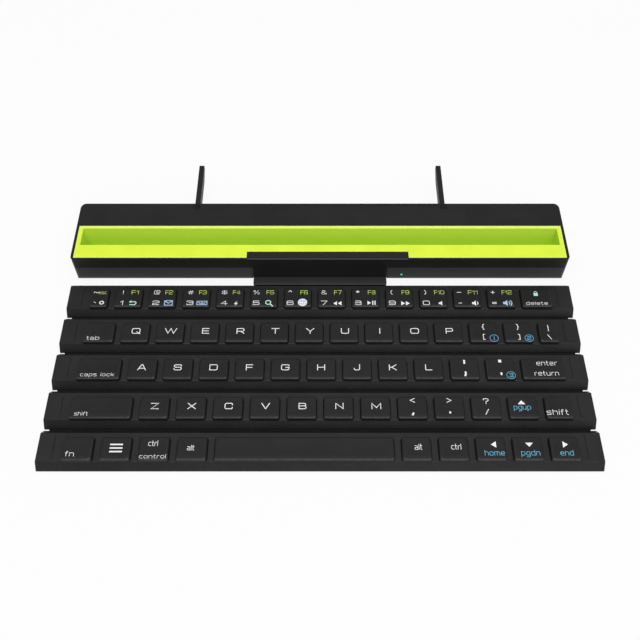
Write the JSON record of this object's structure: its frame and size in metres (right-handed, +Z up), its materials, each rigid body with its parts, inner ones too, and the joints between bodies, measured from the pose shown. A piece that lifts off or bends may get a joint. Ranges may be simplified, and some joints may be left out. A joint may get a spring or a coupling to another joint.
{
  "type": "rollable keyboard",
  "caption": "Wireless keyboard of hinged key rows that roll round a stick-shaped bar with a leaning tablet groove and two folding stand arms.",
  "frame": {"origin": "on the table under the middle of the open keyboard's whole footprint, stand arms folded out", "axes": "+X to the typist's right, +Y from the typist towards the bar, +Z up"},
  "size_m": [0.262, 0.1786, 0.0194],
  "materials": {
    "bar_black": "satin moulded plastic",
    "bar_base_black": "satin moulded plastic",
    "cover_black": "satin dark plastic",
    "lime": "matt coloured plastic",
    "row_black": "matt moulded plastic",
    "tray_black": "soft-touch plastic",
    "key_black": "matt moulded plastic",
    "strip_rubber": "flexible rubber",
    "foot_rubber": "rubber",
    "dome_rubber": "silicone",
    "arm_black": "black painted steel",
    "steel": "plain steel",
    "magnet_metal": "nickel plated",
    "cell_wrap": "shrink wrap",
    "contact_metal": "plated spring metal",
    "board_green": "solder mask",
    "circuit_film": "printed film",
    "light_clear": "clear light guide"
  },
  "bodies": {
    "bar": {"bar_base": "bar_base_black", "bar_top_shell": "bar_black", "tablet_groove": "lime", "bridge_cover": "cover_black", "bar_feet": "foot_rubber", "bar_screws": "steel", "bar_magnets": "magnet_metal", "arm_pivot_pins": "steel", "battery_cell": "cell_wrap", "battery_contacts": "contact_metal", "bar_circuit_board": "board_green", "charging_socket": "steel", "status_light": "light_clear", "bridge_rear_strip": "strip_rubber"},
    "left_arm": {"left_stand_arm": "arm_black"},
    "right_arm": {"right_stand_arm": "arm_black"},
    "bridge": {"bridge_link": "row_black", "bridge_front_strip": "strip_rubber"},
    "row_1": {"row_1_tray": "tray_black", "row_1_frame": "row_black", "row_1_circuit": "circuit_film", "row_1_domes": "dome_rubber", "hinge_strip_1_2": "strip_rubber"},
    "row_2": {"row_2_tray": "tray_black", "row_2_frame": "row_black", "row_2_circuit": "circuit_film", "row_2_domes": "dome_rubber", "hinge_strip_2_3": "strip_rubber"},
    "row_3": {"row_3_tray": "tray_black", "row_3_frame": "row_black", "row_3_circuit": "circuit_film", "row_3_domes": "dome_rubber", "hinge_strip_3_4": "strip_rubber"},
    "row_4": {"row_4_tray": "tray_black", "row_4_frame": "row_black", "row_4_circuit": "circuit_film", "row_4_domes": "dome_rubber", "hinge_strip_4_5": "strip_rubber"},
    "row_5": {"row_5_tray": "tray_black", "row_5_frame": "row_black", "row_5_circuit": "circuit_film", "row_5_domes": "dome_rubber", "row_5_magnets": "magnet_metal"},
    "row_1_key_set": {"row_1_keys": "key_black"},
    "row_2_key_set": {"row_2_keys": "key_black"},
    "row_3_key_set": {"row_3_keys": "key_black"},
    "row_4_key_set": {"row_4_keys": "key_black"},
    "row_5_key_set": {"row_5_keys": "key_black"},
    "delete_key": {"delete_key": "key_black"},
    "tab_key": {"tab_key": "key_black"},
    "caps_lock_key": {"caps_lock_key": "key_black"},
    "enter_key": {"enter_key": "key_black"},
    "left_shift_key": {"left_shift_key": "key_black"},
    "up_arrow_key": {"up_arrow_key": "key_black"},
    "right_shift_key": {"right_shift_key": "key_black"},
    "fn_key": {"fn_key": "key_black"},
    "space_key": {"space_key": "key_black"},
    "left_arrow_key": {"left_arrow_key": "key_black"},
    "down_arrow_key": {"down_arrow_key": "key_black"},
    "right_arrow_key": {"right_arrow_key": "key_black"}
  },
  "joints": [
    {"name": "left_arm_fold", "type": "hinge", "parent": "bar", "child": "left_arm", "pos_m": [-0.0666, 0.0568, 0.014], "axis": [0, 0, -1], "range_deg": [0, 90]},
    {"name": "right_arm_fold", "type": "hinge", "parent": "bar", "child": "right_arm", "pos_m": [0.0666, 0.0568, 0.014], "axis": [0, 0, 1], "range_deg": [0, 90]},
    {"name": "bridge_rear_fold", "type": "hinge", "parent": "bar", "child": "bridge", "pos_m": [0, 0.0226, 0.0004], "axis": [1, 0, 0], "range_deg": [0, 18]},
    {"name": "bridge_front_fold", "type": "hinge", "parent": "bridge", "child": "row_1", "pos_m": [0, 0.01748, 0.0004], "axis": [1, 0, 0], "range_deg": [0, 158]},
    {"name": "row_1_2_fold", "type": "hinge", "parent": "row_1", "child": "row_2", "pos_m": [0, -0.00398, 0.0004], "axis": [1, 0, 0], "range_deg": [0, 8]},
    {"name": "row_2_3_fold", "type": "hinge", "parent": "row_2", "child": "row_3", "pos_m": [0, -0.02542, 0.0004], "axis": [1, 0, 0], "range_deg": [0, 86]},
    {"name": "row_3_4_fold", "type": "hinge", "parent": "row_3", "child": "row_4", "pos_m": [0, -0.04688, 0.0004], "axis": [1, 0, 0], "range_deg": [0, 86]},
    {"name": "row_4_5_fold", "type": "hinge", "parent": "row_4", "child": "row_5", "pos_m": [0, -0.06832, 0.0004], "axis": [1, 0, 0], "range_deg": [0, 8]},
    {"name": "row_1_keys_press", "type": "slide", "parent": "row_1", "child": "row_1_key_set", "axis": [0, 0, -1], "range_m": [0, 0.0015], "stiffness_N_per_m": 400, "springref_m": -0.0005, "deforming": ["row_1_domes"]},
    {"name": "row_2_keys_press", "type": "slide", "parent": "row_2", "child": "row_2_key_set", "axis": [0, 0, -1], "range_m": [0, 0.0015], "stiffness_N_per_m": 400, "springref_m": -0.0005, "deforming": ["row_2_domes"]},
    {"name": "row_3_keys_press", "type": "slide", "parent": "row_3", "child": "row_3_key_set", "axis": [0, 0, -1], "range_m": [0, 0.0015], "stiffness_N_per_m": 400, "springref_m": -0.0005, "deforming": ["row_3_domes"]},
    {"name": "row_4_keys_press", "type": "slide", "parent": "row_4", "child": "row_4_key_set", "axis": [0, 0, -1], "range_m": [0, 0.0015], "stiffness_N_per_m": 400, "springref_m": -0.0005, "deforming": ["row_4_domes"]},
    {"name": "row_5_keys_press", "type": "slide", "parent": "row_5", "child": "row_5_key_set", "axis": [0, 0, -1], "range_m": [0, 0.0015], "stiffness_N_per_m": 400, "springref_m": -0.0005, "deforming": ["row_5_domes"]},
    {"name": "delete_key_press", "type": "slide", "parent": "row_1", "child": "delete_key", "axis": [0, 0, -1], "range_m": [0, 0.0015], "stiffness_N_per_m": 400, "springref_m": -0.0005},
    {"name": "tab_key_press", "type": "slide", "parent": "row_2", "child": "tab_key", "axis": [0, 0, -1], "range_m": [0, 0.0015], "stiffness_N_per_m": 400, "springref_m": -0.0005},
    {"name": "caps_lock_key_press", "type": "slide", "parent": "row_3", "child": "caps_lock_key", "axis": [0, 0, -1], "range_m": [0, 0.0015], "stiffness_N_per_m": 400, "springref_m": -0.0005},
    {"name": "enter_key_press", "type": "slide", "parent": "row_3", "child": "enter_key", "axis": [0, 0, -1], "range_m": [0, 0.0015], "stiffness_N_per_m": 400, "springref_m": -0.0005},
    {"name": "left_shift_key_press", "type": "slide", "parent": "row_4", "child": "left_shift_key", "axis": [0, 0, -1], "range_m": [0, 0.0015], "stiffness_N_per_m": 400, "springref_m": -0.0005},
    {"name": "up_arrow_key_press", "type": "slide", "parent": "row_4", "child": "up_arrow_key", "axis": [0, 0, -1], "range_m": [0, 0.0015], "stiffness_N_per_m": 400, "springref_m": -0.0005},
    {"name": "right_shift_key_press", "type": "slide", "parent": "row_4", "child": "right_shift_key", "axis": [0, 0, -1], "range_m": [0, 0.0015], "stiffness_N_per_m": 400, "springref_m": -0.0005},
    {"name": "fn_key_press", "type": "slide", "parent": "row_5", "child": "fn_key", "axis": [0, 0, -1], "range_m": [0, 0.0015], "stiffness_N_per_m": 400, "springref_m": -0.0005},
    {"name": "space_key_press", "type": "slide", "parent": "row_5", "child": "space_key", "axis": [0, 0, -1], "range_m": [0, 0.0015], "stiffness_N_per_m": 400, "springref_m": -0.0005},
    {"name": "left_arrow_key_press", "type": "slide", "parent": "row_5", "child": "left_arrow_key", "axis": [0, 0, -1], "range_m": [0, 0.0015], "stiffness_N_per_m": 400, "springref_m": -0.0005},
    {"name": "down_arrow_key_press", "type": "slide", "parent": "row_5", "child": "down_arrow_key", "axis": [0, 0, -1], "range_m": [0, 0.0015], "stiffness_N_per_m": 400, "springref_m": -0.0005},
    {"name": "right_arrow_key_press", "type": "slide", "parent": "row_5", "child": "right_arrow_key", "axis": [0, 0, -1], "range_m": [0, 0.0015], "stiffness_N_per_m": 400, "springref_m": -0.0005}
  ]
}
